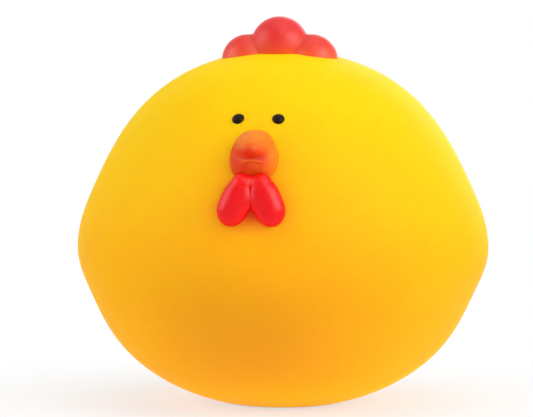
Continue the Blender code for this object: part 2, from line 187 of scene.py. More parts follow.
wattle = {
    "length": 5.75 * mm,         # root to lobe
    "tip": 4.1 * mm,             # how far the lobe's end reaches past that
    "rootWidth": 2.7 * mm,       # half the width at the root, and so on
    "lobeWidth": 3.55 * mm,
    "rootDepth": 2.4 * mm,
    "lobeDepth": 2.7 * mm,
    "taper": 3.2,
    "splay": 21.0,
    "rootOffset": 2.2 * mm,
    "rootDrop": 6.8 * mm,
    "rootReach": 0.8 * mm,       # how far the root and the lobe stand off the face
    "lobeReach": 0.2 * mm,
    "past": 0.55 * mm,           # how far each reaches past the middle, into the other
    "rootSquare": 0.6,           # how square the root's end is towards the middle
    "innerSquare": 0.25,         # and the upper rings
    "squareSpan": (0.45, 1.15),  # from such rings to elliptic ones, as shares of the length
    "web": 0.95 * mm,            # what the inner side is wider by, where the two run together
    "webMiddle": 0.50,           # as shares of the length
    "webSpread": 0.34,
    "creaseLightRoot": (-0.2, 0.25),  # from full painted crease light at the root to none
    "creaseLightInner": (0.35, 0.9),  # from none to all of it on the inner side
    "columns": 150,
    "rows": 60,
}
eye = {
    "spacing": 9.4 * mm,
    "radius": 1.5 * mm,
    "lift": 8.0 * mm,            # above the beak's seat
    "dome": 1.1 * mm,
    "sink": 0.4 * mm,
    "columns": 72,
    "rows": 40,
}

beakSeat = skinPoint(0.0, np.radians(beak["rise"]))
combCrown = np.array((0, -comb["forward"], body["height"]))


# How far rays go, from a centre, until they leave the last of several ellipsoids: the power mean of
# each ray's way out of each one. The longest counts most, and the creases are a little rounded.
def lobeReach(directions, centre, lobes, crease):
    total = 0.0
    for middle, radii in lobes:
        scaled = directions / radii
        offset = (centre - middle) / radii
        a = (scaled ** 2).sum(-1)
        b = (scaled * offset).sum(-1)
        inside = b ** 2 - a * ((offset ** 2).sum() - 1)
        way = (np.sqrt(np.maximum(inside, 0)) - b) / a
        total = total + np.where(inside > 0, np.maximum(way, 0), 0) ** crease
    return total ** (1 / crease)


combLobes = [
    (combCrown + (across, 0, up), radius * np.array((1, comb["thickness"], 1)))
    for across, up, radius in (
        (0, comb["middleLift"], comb["middleRadius"]),
        (-comb["spacing"], -comb["sideDrop"], comb["sideRadius"]),
        (comb["spacing"], -comb["sideDrop"], comb["sideRadius"]),
    )
]
combCentre = combCrown - (0, 0, comb["sideDrop"])


# One of the beak's ellipsoids, in the beak's own directions: its middle lies on the seat's floor.
def beakLobe(width, height, reach, lift):
    skin = facePoint(0, beakSeat[2] + lift)
    middle = np.array((0, skin[1] - beakSeat[1] + body["seatDepth"], lift))
    return middle, np.array((width / 2, reach + body["seatDepth"], height / 2))


beakLobes = [beakLobe(*beak[part]) for part in ("bulb", "upper", "lower")]
beakCentre = np.array((0, body["seatDepth"], beak["bulb"][3]))
droop = np.radians(beak["droop"])
beakTurned = np.array((
    (1, 0, 0),
    (0, np.cos(droop), -np.sin(droop)),
    (0, np.sin(droop), np.cos(droop)),
))


# The arch lowers a point by the square of its way to the side, more the further it is in front.
def beakArch(points):
    forward = np.maximum(-points[..., 1], 0) / beak["upper"][2]
    return beak["arch"] * forward * (points[..., 0] / beak["archSpan"]) ** 2


def beakToToy(points):
    points = points.copy()
    points[..., 2] -= beakArch(points)
    return points @ beakTurned.T + beakSeat


def toyToBeak(points):
    points = (points - beakSeat) @ beakTurned
    points[..., 2] += beakArch(points)
    return points


# A wattle's place: its root, its length from root to lobe, and its three directions as rows, of
# which the first points to -X.
def wattlePlace(side):
    root = facePoint(side * wattle["rootOffset"], beakSeat[2] - wattle["rootDrop"])
    splay = np.radians(wattle["splay"])
    lobe = facePoint(root[0] + side * wattle["length"] * np.sin(splay),
                     root[2] - wattle["length"] * np.cos(splay))
    root[1] -= wattle["rootReach"]
    lobe[1] -= wattle["lobeReach"]
    span = np.linalg.norm(lobe - root)
    axis = (lobe - root) / span
    across = np.cross((0, 1, 0), axis)
    across /= np.linalg.norm(across)
    return root, span, np.stack((across, np.cross(axis, across), axis))


# Half width and half depth along a wattle, from the root's to the lobe's, where they level out.
def wattleSize(along, span):
    share = 1 - (1 - np.clip(along / span, 0, 1)) ** wattle["taper"]
    wide = wattle["rootWidth"] + share * (wattle["lobeWidth"] - wattle["rootWidth"])
    deep = wattle["rootDepth"] + share * (wattle["lobeDepth"] - wattle["rootDepth"])
    return wide, deep


# How far inside each form a point lies, in metres, and less than zero outside it. For lobes it is
# measured along the ray from their centre, and for drops and beads it is the size times one minus
# the root of the summed squares of each coordinate over its radius.
def insideLobes(points, centre, lobes, crease):
    away = points - centre
    distance = np.linalg.norm(away, axis=-1)
    directions = away / np.maximum(distance, 1e-9)[..., None]
    return lobeReach(directions, centre, lobes, crease) - distance


def insideComb(points):
    return insideLobes(points, combCentre, combLobes, comb["crease"])


def insideBeak(points):
    return insideLobes(toyToBeak(points), beakCentre, beakLobes, beak["crease"])


def insideWattle(points, side):
    root, span, axes = wattlePlace(side)
    local = (points - root) @ axes.T
    beyond = local[..., 2] - np.clip(local[..., 2], 0, span)
    cap = np.where(beyond > 0, wattle["tip"], wattle["rootWidth"])
    wide, deep = wattleSize(local[..., 2], span)
    ratio = np.sqrt((local[..., 0] / wide) ** 2 + (local[..., 1] / deep) ** 2 + (beyond / cap) ** 2)
    return np.minimum(wide, deep) * (1 - ratio)


# An eye's middle, and its three directions as rows, of which the last points out of the skin.
def eyePlace(side):
    x, z = side * eye["spacing"] / 2, beakSeat[2] + eye["lift"]
    rise = np.arcsin(((z - body["widest"]) / crownRise) ** (body["crownFullness"] / 2))
    azimuth = np.arcsin(x / (halfWidth * shareAt(z)))
    normal = skinNormal(azimuth, rise)
    right = np.cross((0, 0, 1), normal)
    right /= np.linalg.norm(right)
    axes = np.stack((right, np.cross(normal, right), normal))
    return facePoint(x, z) - eye["sink"] * normal, axes


def insideEye(points, side):
    middle, axes = eyePlace(side)
    local = (points - middle) @ axes.T
    radii = np.array((eye["radius"], eye["radius"], eye["dome"]))
    return eye["dome"] * (1 - np.linalg.norm(local / radii, axis=-1))


def fade(value, low, high):  # 0 below low, 1 above high, and a smooth step between them
    t = np.clip((value - low) / (high - low), 0, 1)
    return t * t * (3 - 2 * t)


# Where the toy stands: the solids are centred front to back, by as much as the comb's box says.
combLow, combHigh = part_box("comb")
toyPlace = np.array((0, (combLow.y + combHigh.y) / 2 + comb["forward"], 0))
sharpAngle = np.radians(50)      # faces that meet at more than this keep a hard edge


# Makes a mesh of rings (ring, column, xyz) and one point at each end. Quads join neighbouring
# rings, triangles close the ends, and all of them are turned over if the volume comes out negative.
# Marks are numbers for the material, one for each point of the rings; an end takes its neighbour's.
def ringPiece(name, rings, firstPole, lastPole, material, marks=None):
    count, columns = rings.shape[:2]
    points = np.concatenate((rings.reshape(-1, 3), [firstPole, lastPole])) + toyPlace
    index = np.arange(count * columns).reshape(count, columns)
    right = np.roll(index, -1, 1)
    quads = np.stack((index[:-1], index[1:], right[1:], right[:-1]), -1).reshape(-1, 4)
    first, last = count * columns, count * columns + 1
    caps = [np.stack((np.full(columns, first), index[0], right[0]), -1),
            np.stack((np.full(columns, last), right[-1], index[-1]), -1)]
    triangles = np.concatenate(caps)
    flat = np.concatenate((quads[:, (0, 1, 2)], quads[:, (0, 2, 3)], triangles))
    a, b, c = (points[flat[:, k]] for k in range(3))
    if (a * np.cross(b, c)).sum() < 0:
        quads, triangles = quads[:, ::-1], triangles[:, ::-1]
    corners = np.concatenate((quads.ravel(), triangles.ravel()))
    quadStarts = 4 * np.arange(len(quads))
    triangleStarts = 4 * len(quads) + 3 * np.arange(len(triangles))
    starts = np.concatenate((quadStarts, triangleStarts))

    mesh = bpy.data.meshes.new(name)
    mesh.vertices.add(len(points))
    mesh.vertices.foreach_set("co", points.astype(np.float32).ravel())
    mesh.loops.add(len(corners))
    mesh.loops.foreach_set("vertex_index", corners.astype(np.int32))
    mesh.polygons.add(len(starts))
    mesh.polygons.foreach_set("loop_start", starts.astype(np.int32))
    mesh.update(calc_edges=True)
    mesh.validate()
    mesh.shade_smooth()
    mesh.set_sharp_from_angle(angle=sharpAngle)
    for mark, values in (marks or {}).items():
        values = np.concatenate((values.ravel(), [values[0, 0], values[-1, 0]]))
        made = mesh.attributes.new(mark, "FLOAT", "POINT")
        made.data.foreach_set("value", values.astype(np.float32))
    mesh.materials.append(material)
    piece = bpy.data.objects.new(name, mesh)
    bpy.context.collection.objects.link(piece)
    print(f"{name}: {len(points)} points")
    return piece


# Materials

def linear(code):  # an sRGB hex colour, as linear red, green, blue and alpha
    part = np.array([int(code[i:i + 2], 16) for i in (1, 3, 5)]) / 255
    part = np.where(part <= 0.04045, part / 12.92, ((part + 0.055) / 1.055) ** 2.4)
    return (*part, 1.0)


# Adds a node. Settings are its own properties or its sockets' values, and links are its sockets'
# sources: an output, or a node for its first output.
def add(tree, kind, settings=None, links=None):
    node = tree.nodes.new("ShaderNode" + kind)
    for key, value in (settings or {}).items():
        if hasattr(node, str(key)):
            setattr(node, key, value)
        else:
            node.inputs[key].default_value = value
    for key, source in (links or {}).items():
        if isinstance(source, bpy.types.Node):
            source = source.outputs[0]
        tree.links.new(source, node.inputs[key])
    return node


# A material with no nodes but the one that gives each point's place on the toy.
def newMaterial(name):
    made = bpy.data.materials.new(name)
    made.use_nodes = True
    tree = made.node_tree
    tree.nodes.clear()
    return made, tree, add(tree, "TexCoord").outputs["Object"]


noiseSpan = {"From Min": 0.3, "From Max": 0.7}    # between which nearly all of a noise lies


def noise(tree, place, size, detail):
    return add(tree, "TexNoise", {"Scale": 1 / size, "Detail": detail}, {"Vector": place})


def spread(tree, source, low, high):  # a noise's values, from low to high
    return add(tree, "MapRange", {**noiseSpan, "To Min": low, "To Max": high}, {"Value": source})


# Mixes two colours, each a hex code or an output. Share is how much of the second one shows.
def mix(tree, share, first, second):
    node = add(tree, "Mix", {"data_type": "RGBA"}, {0: share})
    for socket, colour in ((node.inputs[6], first), (node.inputs[7], second)):
        if isinstance(colour, str):
            socket.default_value = linear(colour)
        else:
            tree.links.new(colour, socket)
    return node.outputs[2]


rubber = {
    "skinTop": "#FFCC04",        # crown and brow, painted lighter as if lit from above
    "skinMiddle": "#FDB70F",     # at the widest ring
    "skinBelly": "#E8A410",      # painted shade under the widest ring
    "skinShadingLevels": (              # shares of the height, and the colours there: painted light and shade, with the lowest rows lighter again as painted floor bounce
        (0.0, "skinMiddle"), (0.05, "skinMiddle"), (0.15, "skinBelly"),
        (0.34, "skinBelly"), (0.54, "skinMiddle"), (0.92, "skinTop"),
    ),
    "skinFrontShade": "#DE961C",      # painted shade low on the front of the belly, away from the lamps
    "skinShadeBeside": "#FC961A",      # painted shade and red bounce beside the red and orange pieces
    "skinValleyShade": "#E64A1E",     # painted red shade in the valley between the wattles
    "skinSpeck": "#B8731A",      # in the pits
    "speck": 0.55,               # how strongly
    "skinCloud": 22 * mm,        # size of the slow changes of tone and sheen
    "skinTone": (0.97, 1.03),    # lowest and highest, as factors
    "skinRough": (0.52, 0.62),
    "skinGrain": (0.55 * mm, 0.012 * mm),    # size and height
    "skinPits": (7.5 * mm, 0.16 * mm),       # spacing and radius
    "skinScatter": 2.2 * mm,     # how far light wanders in it
    "combRed": "#DA1E24",
    "combGlow": "#F26A20",       # painted glow at its foot, as if lit through the yellow skin
    "wattleRed": "#E4040E",
    "wattleCreaseLight": "#EE100E",   # painted light: a brighter red at the root and where the two meet, in place of their shade
    "beakOrange": "#EA7E0C",
    # red paint and painted shade, laid on along the mouth mark
    "beakRed": "#D8200E",
    "plugYellow": "#F3AE17",
    "pieceCloud": 2.6 * mm,
    "pieceRough": (0.04, 0.05),  # how far it falls and rises from the piece's own
    "pieceMark": (0.75, 1.15),   # lowest and highest strength of the second colour, as factors
    "pieceGrain": (0.45 * mm, 0.010 * mm),
    "piecePits": (5.0 * mm, 0.12 * mm),
    "pieceScatter": 1.3 * mm,
    "pitDepth": 0.6,             # as a share of the grain's height
    "pitFloor": 0.55,            # the flat part, as a share of the pit's radius
}


# The fine skin of moulded rubber: a grain of low bumps, and now and then a small pit where a bubble
# met the mould. The real grain is under a tenth of a millimetre, so it is drawn coarser, to show.
# Returns the nodes of the bumps and of the pits.
def rubberGrain(tree, place, grain, pits):
    grainSize, grainHeight = grain
    spacing, radius = pits
    bumps = noise(tree, place, grainSize, 3.0)
    bumps.inputs["Roughness"].default_value = 0.55
    cells = add(tree, "TexVoronoi", {"Scale": 1 / spacing}, {"Vector": place})
    rim = radius / spacing
    pit = add(tree, "MapRange", {"From Min": rim * rubber["pitFloor"], "From Max": rim,
                                 "To Min": 1.0, "To Max": 0.0}, {"Value": cells})
    lower = add(tree, "Math", {"operation": "MULTIPLY", 1: -rubber["pitDepth"]}, {0: pit})
    height = add(tree, "Math", {"operation": "ADD"}, {0: bumps, 1: lower})
    bump = add(tree, "Bump", {"Strength": 1.0, "Distance": grainHeight}, {"Height": height})
    return bump, pit


# Soft thermoplastic rubber, moulded in a lightly blasted tool and a little see-through. To the eye:
# a broad soft sheen with no sharp highlight, deeper orange where less light gets in, and fine
# grain. Its yellow changes up the height as painted light and shade, lighter on the crown, darker
# under the widest ring and lighter again at the floor, and the mesh carries marks of painted shade
# and bounce over it.
def softYellowRubber():
    made, tree, place = newMaterial("softYellowRubber")
    split = add(tree, "SeparateXYZ", {}, {0: place})
    level = add(tree, "MapRange", {"From Min": 0.0, "From Max": body["height"]},
                {"Value": split.outputs[2]})
    ramp = add(tree, "ValToRGB", {}, {0: level})
    stops = ramp.color_ramp
    stops.interpolation = "B_SPLINE"
    heights, codes = zip(*rubber["skinShadingLevels"])
    stops.elements[0].position, stops.elements[1].position = heights[0], heights[-1]
    for height in heights[1:-1]:
        stops.elements.new(height)
    for stop, code in zip(stops.elements, codes):
        stop.color = linear(rubber[code])
    cloud = noise(tree, place, rubber["skinCloud"], 2.0)
    tone = spread(tree, cloud, *rubber["skinTone"])
    colour = add(tree, "HueSaturation", {}, {"Color": ramp, "Value": tone}).outputs[0]
    for mark, code in (("amber", "skinFrontShade"), ("paintedShadeBeside", "skinShadeBeside"), ("valleyShade", "skinValleyShade")):
        marked = add(tree, "Attribute", {"attribute_name": mark}).outputs["Fac"]
        colour = mix(tree, marked, colour, rubber[code])
    bump, pit = rubberGrain(tree, place, rubber["skinGrain"], rubber["skinPits"])
    speck = add(tree, "Math", {"operation": "MULTIPLY", 1: rubber["speck"]}, {0: pit})
    colour = mix(tree, speck, colour, rubber["skinSpeck"])
    rough = spread(tree, cloud, *rubber["skinRough"])
    shader = add(tree, "BsdfPrincipled", {
        "IOR": 1.48, "Subsurface Weight": 0.6, "Subsurface Radius": (1.0, 0.42, 0.10),
        "Subsurface Scale": rubber["skinScatter"], "Specular IOR Level": 0.05,
    }, {"Base Color": colour, "Roughness": rough, "Normal": bump})
    add(tree, "OutputMaterial", {}, {"Surface": shader})
    return made


# The same rubber in one colour, polished a little more by its own mould. To the eye: a wide pinkish
# highlight and a glow at thin edges. A second colour shows along the mark that the mesh carries:
# painted glow on the comb, painted light on the wattles, and red paint with painted shade on the
# beak.
def softColouredRubber(name, colour, roughness, sheen, second=None, mark=None):
    made, tree, place = newMaterial(name)
    cloud = noise(tree, place, rubber["pieceCloud"], 3.0)
    bump = rubberGrain(tree, place, rubber["pieceGrain"], rubber["piecePits"])[0]
    fall, climb = rubber["pieceRough"]
    rough = spread(tree, cloud, roughness - fall, roughness + climb)
    shader = add(tree, "BsdfPrincipled", {
        "Base Color": linear(rubber[colour]), "IOR": 1.49, "Subsurface Weight": 0.5,
        "Subsurface Radius": (1.0, 0.22, 0.12), "Subsurface Scale": rubber["pieceScatter"],
        "Specular IOR Level": sheen,
    }, {"Roughness": rough, "Normal": bump})
    if second:
        wander = spread(tree, cloud, *rubber["pieceMark"])
        marked = add(tree, "Attribute", {"attribute_name": mark}).outputs["Fac"]
        share = add(tree, "Math", {"operation": "MULTIPLY", "use_clamp": True},
                    {0: marked, 1: wander})
        both = mix(tree, share, rubber[colour], rubber[second])
        tree.links.new(both, shader.inputs["Base Color"])
    add(tree, "OutputMaterial", {}, {"Surface": shader})
    return made


bead = {"black": "#160B03", "brown": "#241405", "haze": 0.5 * mm, "rough": (0.22, 0.34)}


# Black acrylic bead, tumbled to a gloss. To the eye: a near-black brown with one small highlight.
def glossBlackAcrylic():
    made, tree, place = newMaterial("glossBlackAcrylic")
    haze = noise(tree, place, bead["haze"], 2.0)
    colour = mix(tree, haze, bead["black"], bead["brown"])
    smooth, dull = bead["rough"]
    rough = add(tree, "MapRange", {"To Min": smooth, "To Max": dull}, {"Value": haze})
    shader = add(tree, "BsdfPrincipled", {"IOR": 1.49, "Specular IOR Level": 0.07},
                 {"Base Color": colour, "Roughness": rough})
    add(tree, "OutputMaterial", {}, {"Surface": shader})
    return made


gel = {
    "bubble": "#FFE0A0",
    "amber": "#F2A63A",
    "bubbleSpacing": 4 * mm,
    "scatter": 4 * mm,
    "clearance": 0.5 * mm,       # from the skin and from the plug
    "columns": 160,
    "rows": 90,
}


# Thick gel, poured in through the port, with a few bubbles. To the eye: amber, wet and cloudy.
def amberGel():
    made, tree, place = newMaterial("amberGel")
    bubbles = add(tree, "TexVoronoi", {"Scale": 1 / gel["bubbleSpacing"]}, {"Vector": place})
    tone = add(tree, "MapRange", {"From Min": 0.1, "From Max": 0.2}, {"Value": bubbles})
    colour = mix(tree, tone, gel["bubble"], gel["amber"])
    shader = add(tree, "BsdfPrincipled", {
        "IOR": 1.42, "Roughness": 0.2, "Subsurface Weight": 1.0,
        "Subsurface Radius": (1.0, 0.6, 0.2), "Subsurface Scale": gel["scatter"],
    }, {"Base Color": colour})
    add(tree, "OutputMaterial", {}, {"Surface": shader})
    return made


# The numbers are each one's roughness and specular level.
skinRubber = softYellowRubber()
combRubber = softColouredRubber("softRedCombRubber", "combRed", 0.38, 0.30, "combGlow", "glow")
wattleRubber = softColouredRubber("softRedWattleRubber", "wattleRed", 0.27, 0.22,
                                  "wattleCreaseLight", "crease")
beakRubber = softColouredRubber("softOrangeRubber", "beakOrange", 0.40, 0.15, "beakRed", "mouth")
eyeAcrylic = glossBlackAcrylic()
gelMaterial = amberGel()
plugRubber = softColouredRubber("plugRubber", "plugYellow", 0.6, 0.3)
print("materials made")

# What the skin's surface carries besides its plain form, and where its colours change
surface = {
    "unevenness": 0.10 * mm,     # slow swells that gel leaves in a thin skin
    "swells": ((3, 1.3, 2.2, 0.4 + pi / 2), (2, -0.8, 3.1, 0)),    # waves round and up
    "swellFoot": (2 * mm, 12 * mm),          # heights from none to all of them
    "seamHeight": 0.06 * mm,     # the mould's parting line, over the sides and the crown
    "seamWidth": 0.22 * mm,
    "seamFoot": (1 * mm, 4 * mm),
    "seamColumns": (-0.5, -0.25, -0.12, -0.05, 0.0, 0.05, 0.12, 0.25, 0.5, 0.8),    # mm from it
    "faceCrowding": 0.55,        # how strongly columns are drawn towards the face
    "rowHumps": ((28, 2.2, 0.38), (72, 0.8, 0.25)),    # rise in degrees, height and half width
    "pocketIn": (0.35 * mm, 1.0 * mm),       # how far inside a piece its pocket starts and is full
    "pocketDepth": 1.3 * mm,
    "eyePocketIn": (0.15 * mm, 0.4 * mm),
    "eyePocketDepth": 1.2 * mm,
    "shadeBesideReach": 2.2 * mm,      # over which the painted shade beside a piece dies away
    "wattleShadeBeside": 0.65,
    "beakShadeBeside": 0.6,
    "beakShadeBesideTop": (-4 * mm, 2 * mm),       # from all of it to none, up from the beak's seat
    "valleyShade": 2.4,               # strength of the painted red shade between the wattles
    "valleyLess": 0.15,          # taken off it, so that it ends beside them
    "valleyTop": (-9 * mm, -5 * mm),
    "frontShadeHeight": 16 * mm,      # the painted shade patch's middle, and how far it spreads
    "frontShadeWide": 28 * mm,
    "frontShadeHigh": 14 * mm,
    "frontShadeForward": 15 * mm,       # full from here forwards, and none behind the toy's middle
    "frontShadeFloor": (1 * mm, 10 * mm),         # from none to all of it, up from the floor
}


# Columns crowd towards the face, and a few more stand close on each side of the seam.
def skinColumns():
    beside = np.array(surface["seamColumns"]) * mm / halfWidth
    even = np.linspace(-pi, pi, body["columns"] - 2 * len(beside), endpoint=False)
    crowded = even - surface["faceCrowding"] * np.sin(even)
    return np.sort(np.concatenate((crowded, pi / 2 + beside, -pi / 2 + beside)))


# Rises from just under the crown to the flat patch, closer together at the face and the comb. They
# are read back from the running sum of a density with two humps.
def skinRises(count):
    fine = np.linspace(pi / 2, flatTurn, 4000)    # far closer together than the rows
    density = np.ones_like(fine)
    for middle, height, spread in surface["rowHumps"]:
        density += height * np.exp(-((fine - np.radians(middle)) / spread) ** 2)
    total = np.concatenate(([0], np.cumsum(density)))[:-1]
    return np.interp(np.linspace(0, total[-1], count + 1)[1:], total, fine)


# How far the skin's surface stands off its plain form: slow swells, each a sine wave round the body
# times one up it, given as how often and where each starts, the seam as a bell curve across it, and
# a pocket under each coloured piece that starts a little inside the piece's edge.
def skinRelief(points, azimuth, rise):
    high = points[..., 2]
    swell = sum(np.sin(around * azimuth + start) * np.sin(up * rise + low)
                for around, start, up, low in surface["swells"])
    swell = swell * np.cos(rise) ** 2 * fade(high, *surface["swellFoot"])
    seam = np.exp(-(points[..., 1] / surface["seamWidth"]) ** 2)
    seam = seam * fade(high, *surface["seamFoot"])
    forms = [insideComb(points), insideBeak(points)] + [insideWattle(points, k) for k in (1, -1)]
    eyes = np.maximum(insideEye(points, 1), insideEye(points, -1))
    pocket = surface["pocketDepth"] * fade(np.maximum.reduce(forms), *surface["pocketIn"])
    pocket = pocket + surface["eyePocketDepth"] * fade(eyes, *surface["eyePocketIn"])
    return surface["unevenness"] * swell + surface["seamHeight"] * seam - pocket


# The marks of the skin's painted shade. The painted shade and orange and red bounce beside the beak
# and the wattles die away as an exponential of the way to them, the painted red shade between the
# wattles is the product of theirs, and the amber patch of painted shade low on the front is a bell
# curve across by one upwards.
def skinMarks(points):
    high, seat = points[..., 2], beakSeat[2]
    forms = insideWattle(points, 1), insideWattle(points, -1), insideBeak(points)
    left, right, middle = (np.exp(-np.maximum(-form, 0) / surface["shadeBesideReach"]) for form in forms)
    # Painted shade and bounce beside the beak and the wattles.
    beakTop, beakNone = surface["beakShadeBesideTop"]
    low = 1 - fade(high, seat + beakTop, seat + beakNone)
    paintedShadeBeside = np.maximum.reduce((
        surface["wattleShadeBeside"] * left, surface["wattleShadeBeside"] * right,
        surface["beakShadeBeside"] * low * middle,
    ))
    # Painted red shade in the valley between the wattles.
    valleyTop, valleyNone = surface["valleyTop"]
    valleyShade = np.clip(surface["valleyShade"] * left * right - surface["valleyLess"], 0, 1)
    valleyShade = valleyShade * (1 - fade(high, seat + valleyTop, seat + valleyNone))
    # Painted shade: the amber patch low on the front of the belly, darker where less light reaches.
    across, up = points[..., 0] / surface["frontShadeWide"], high - surface["frontShadeHeight"]
    amber = np.exp(-across ** 2 - (up / surface["frontShadeHigh"]) ** 2)
    amber = amber * fade(-points[..., 1], 0, surface["frontShadeForward"])
    amber = amber * fade(high, *surface["frontShadeFloor"])
    return {"paintedShadeBeside": paintedShadeBeside, "valleyShade": valleyShade, "amber": amber}


# The filler port in the skin's base, with a boss around its bore, and the plug that closes it
port = {
    "bore": 4.0 * mm,            # radius
    "bossWall": 5.5 * mm,
    "bossHeight": 6.0 * mm,
    "bossChamfer": 1.0 * mm,
    "edge": 0.25 * mm,
    "bevel": 0.3,                # where the edge's round corner has its middle, as a share
    "rings": (9.6 * mm, 7.9 * mm),    # radii of two more rings across the flat patch
    "gap": 0.3 * mm,             # between port and plug
}
plug = {
    "head": 5.7 * mm,            # radius
    "recess": 0.4 * mm,          # floor to head
    "thickness": 1.0 * mm,
    "edge": 0.3 * mm,
    "edgeRings": 7,
    "dish": 0.25 * mm,
    "dishSlope": (1.6 * mm, 1.2 * mm),    # from the head's edge to the dish, and to its rim
    "grip": 1.0 * mm,            # how far the barb reaches past the bore
    "barbLength": 3.0 * mm,
    "tip": 2.6 * mm,
    "nib": 0.9 * mm,             # radius of the nib left by the mould's gate
    "nibTop": 0.7,               # and of its end, as a share
    "nibHeight": 0.12 * mm,
    "columns": 128,
}
bossRadius = port["bore"] + port["bossWall"]
barbFoot = port["bossHeight"] + port["gap"]
plugTop = barbFoot + plug["barbLength"]


def turned(profile, azimuth):  # rings of a profile, given as radius and height
    radius, height = np.array(profile).T[..., None]
    side, front = np.sin(azimuth), np.cos(azimuth)
    return np.stack((radius * side, -radius * front, height + 0 * azimuth), -1)


# Body skin: its outside from the crown down, a profile turned through the port, and its inside,
# which is the plain form moved in by the wall.
def makeSkin():
    azimuth = skinColumns()
    rises = skinRises(body["rows"])[:, None]
    outside = skinPoint(azimuth, rises)
    relief, marks = skinRelief(outside, azimuth, rises), skinMarks(outside)
    outside = outside + relief[..., None] * skinNormal(azimuth, rises)
    outside[..., 2] = np.maximum(outside[..., 2], 0)
    sink, bore, boss = plug["head"] + port["gap"], port["bore"], bossRadius
    floor = plug["recess"] + plug["thickness"] + port["gap"]
    edge, chamfer, top = port["edge"], port["bossChamfer"], port["bossHeight"]
    bevel = port["bevel"] * edge
    profile = [(radius, 0) for radius in port["rings"]]
    profile += [
        (sink + edge, 0), (sink + bevel, bevel), (sink, edge), (sink, floor), (bore, floor),
        (bore, top), (boss - chamfer, top), (boss, top - chamfer), (boss, body["wall"]),
    ]
    innerRises = np.linspace(flatTurn, pi / 2, body["innerRows"], endpoint=False)[:, None]
    inside = skinPoint(azimuth, innerRises) - body["wall"] * skinNormal(azimuth, innerRises)
    rings = np.concatenate((outside, turned(profile, azimuth), inside))
    unmarked = np.zeros((len(rings) - len(outside), len(azimuth)))
    marks = {mark: np.concatenate((values, unmarked)) for mark, values in marks.items()}
    crown = np.array((0, 0, body["height"]))
    crown[2] += skinRelief(crown[None], np.zeros(1), np.full(1, pi / 2))[0]
    under = (0, 0, body["height"] - body["wall"])
    return ringPiece("hen_skin", rings, crown, under, skinRubber, marks)


# Gel: the inside of the skin less its clearance, hollowed over the boss.
def makeGel():
    azimuth = np.linspace(-pi, pi, gel["columns"], endpoint=False)
    rises = np.linspace(pi / 2, flatTurn, gel["rows"])[1:, None]
    depth = body["wall"] + gel["clearance"]
    outside = skinPoint(azimuth, rises) - depth * skinNormal(azimuth, rises)
    well, top = bossRadius + gel["clearance"], plugTop + gel["clearance"]
    chamfer = port["bossChamfer"]
    profile = ((well, depth), (well, top - chamfer), (well - chamfer, top))
    rings = np.concatenate((outside, turned(profile, azimuth)))
    return ringPiece("hen_gel", rings, (0, 0, body["height"] - depth), (0, 0, top), gelMaterial)


# Filler plug, turned: a dished head with a rounded edge, a stem through the bore and a barb.
def makePlug():
    azimuth = np.linspace(-pi, pi, plug["columns"], endpoint=False)
    low, high, edge = plug["recess"], plug["recess"] + plug["thickness"], plug["edge"]
    face, head = low + plug["dish"], plug["head"]
    nibEnd = face - plug["nibHeight"]
    dished, rim = (head - inward for inward in plug["dishSlope"])
    stem, barb = port["bore"] - port["gap"], port["bore"] + plug["grip"]
    turns = np.linspace(0, pi / 2, plug["edgeRings"])
    profile = [(plug["nib"] * plug["nibTop"], nibEnd), (plug["nib"], face)]
    profile += [(dished, face), (rim, low)]
    profile += [(head - edge + edge * np.sin(t), low + edge - edge * np.cos(t)) for t in turns]
    profile += [(head, high), (stem, high), (stem, barbFoot)]
    profile += [(barb, barbFoot), (barb, barbFoot + edge), (plug["tip"], plugTop)]
    rings = turned(profile, azimuth)
    return ringPiece("hen_plug", rings, (0, 0, nibEnd), (0, 0, plugTop), plugRubber)


# Directions over a ball whose poles lie left and right. Lean runs from one pole to the other, and
# the turn about that axis is drawn towards the front by crowding.
def ballDirections(columns, rows, crowding=0.0):
    lean = np.linspace(0, pi, rows + 2)[1:-1, None]
    turn = np.linspace(0, 2 * pi, columns, endpoint=False)
    turn = turn - crowding * np.cos(turn)
    parts = np.cos(lean) + 0 * turn, np.sin(lean) * np.sin(turn), np.sin(lean) * np.cos(turn)
    return np.stack(parts, -1)


# Where rays from a centre leave its lobes: those in all directions, and those to the two poles.
def lobeSurface(directions, centre, lobes, crease):
    poles = np.array(((1.0, 0, 0), (-1.0, 0, 0)))
    return [centre + lobeReach(rays, centre, lobes, crease)[..., None] * rays
            for rays in (directions, poles)]


# Comb: rays from its centre to the merged lobes. What lies below the seat's floor is lifted to it.
# Its painted glow dies away as an exponential of the height above the skin.
def makeComb():
    def floored(points):
        floor = crownZ(points[..., 0], points[..., 1]) - body["seatDepth"]
        points[..., 2] = np.maximum(points[..., 2], floor)
        return points

    directions = ballDirections(comb["columns"], comb["rows"])
    rings, ends = lobeSurface(directions, combCentre, combLobes, comb["crease"])
    rings, ends = floored(rings), floored(ends)
    height = rings[..., 2] - crownZ(rings[..., 0], rings[..., 1])
    glow = np.exp(-np.clip(height, 0, 1) / comb["glowReach"])
    glow = glow * fade(-rings[..., 1], *comb["glowFront"])
    return ringPiece("hen_comb", rings, ends[0], ends[1], combRubber, {"glow": comb["glow"] * glow})


# Brings back to the seat's floor what lies deeper in the face than it.
def facePressed(points):
    floor = faceY(points[..., 0], points[..., 2]) + body["seatDepth"]
    points[..., 1] = np.minimum(points[..., 1], floor)
    return points


# How thickly the red paint and painted shade lie: from full to none to each side and upwards, and
# in three coats from the rim up, of which the last one starts on the lip. They sit more to the -X
# side, away from the main lamps, and thin out at the lower rim as painted light.
mouthPaintAndShade = {
    "middle": 1.2 * mm,          # from the beak's middle towards -X, the side away from the main lamps, as painted shade
    "sides": (2.8 * mm, 6.8 * mm),
    "top": (1.1 * mm, 4.7 * mm),
    "rim": 0.16,
    "chin": 0.64,
    "chinFoot": (-6.2 * mm, -3.0 * mm),
    "mouth": 0.20,
    "mouthFoot": (-0.9 * mm, -0.2 * mm),
    "ridge": 0.5,                # painted highlight: how much of it is missing on the lip itself
}
